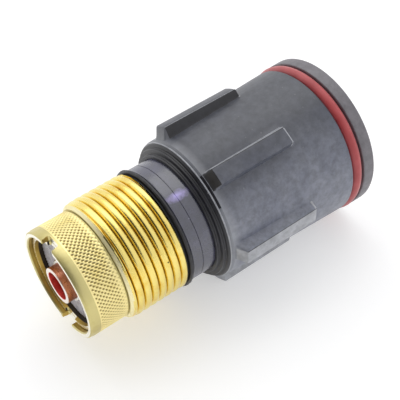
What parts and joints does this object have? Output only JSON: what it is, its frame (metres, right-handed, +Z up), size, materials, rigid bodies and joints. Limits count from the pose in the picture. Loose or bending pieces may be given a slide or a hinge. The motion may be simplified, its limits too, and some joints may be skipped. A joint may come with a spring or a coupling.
{
  "type": "tig torch",
  "caption": "Straight water-cooled TIG torch head: knurled gas lens collar, threaded brass barrel for the cup, black ridged grip with a red seal ring, sockets in the rear face.",
  "frame": {"origin": "centre of the nose tube's mouth, in the plane of the collar's rim, on the torch axis", "axes": "+X runs along the torch axis from the nose to the rear face, +Z is up with the torch lying on its side, so that -X is the way the electrode leaves"},
  "size_m": [0.0783, 0.0422, 0.04],
  "materials": {
    "collar_brass": "pale turned and knurled brass",
    "barrel_brass": "golden turned brass",
    "socket_brass": "turned brass",
    "copper": "turned copper, a bright face and a red-brown bore",
    "lens_mesh": "fine woven stainless wire",
    "bright_steel": "bright turned steel",
    "screw_steel": "plated steel",
    "black_rubber": "black rubber",
    "neck_moulding": "satin black moulding",
    "black_moulding": "satin black moulding, slightly dusty",
    "flange_moulding": "matt black moulding",
    "red_silicone": "red silicone rubber with a dusty bloom",
    "white_bush": "white insulating plastic"
  },
  "bodies": {
    "torch": {"threaded_barrel": "barrel_brass", "insulating_washer": "black_rubber", "neck_sleeve": "neck_moulding", "gas_bush": "white_bush", "torch_core": "copper", "water_jacket": "barrel_brass", "jacket_seals": "black_rubber", "core_seal": "black_rubber", "manifold_block": "barrel_brass", "water_tube": "copper", "gas_tube": "copper", "grip_shell": "black_moulding", "red_seal_ring": "red_silicone", "end_flange": "flange_moulding", "water_in_socket": "socket_brass", "water_out_socket": "socket_brass", "gas_socket": "socket_brass", "socket_seals": "black_rubber", "flange_screws": "screw_steel", "flange_dowel": "screw_steel"},
    "lens_feed": {"lens_seal": "black_rubber"},
    "gas_lens": {"nose_collar": "collar_brass", "lens_ring": "collar_brass", "collet_body": "copper", "front_screen": "lens_mesh", "second_screen": "lens_mesh", "third_screen": "lens_mesh", "rear_screen": "lens_mesh", "screen_spacers": "collar_brass", "tube_ferrule": "bright_steel"},
    "collet": {"collet": "copper"},
    "cap_feed": {"cap_seal": "black_rubber"},
    "back_cap": {"back_cap": "socket_brass"}
  },
  "joints": [
    {"name": "lens_slide", "type": "slide", "parent": "torch", "child": "lens_feed", "axis": [-1, 0, 0], "range_m": [0, 0.009]},
    {"name": "lens_turn", "type": "hinge", "parent": "lens_feed", "child": "gas_lens", "pos_m": [0, 0, 0], "axis": [-1, 0, 0], "range_deg": [0, 2160]},
    {"name": "cap_slide", "type": "slide", "parent": "torch", "child": "cap_feed", "axis": [1, 0, 0], "range_m": [0, 0.0075]},
    {"name": "cap_turn", "type": "hinge", "parent": "cap_feed", "child": "back_cap", "pos_m": [0.0783, 0, 0], "axis": [1, 0, 0], "range_deg": [0, 2160]},
    {"name": "collet_slide", "type": "slide", "parent": "torch", "child": "collet", "axis": [1, 0, 0], "range_m": [0, 0.0075]}
  ],
  "couplings": [
    {"joint": "lens_turn", "follows": "lens_slide", "rad_per_m": 4188.8},
    {"joint": "cap_turn", "follows": "cap_slide", "rad_per_m": 5026.5},
    {"joint": "collet_slide", "follows": "cap_slide", "ratio": 1}
  ]
}
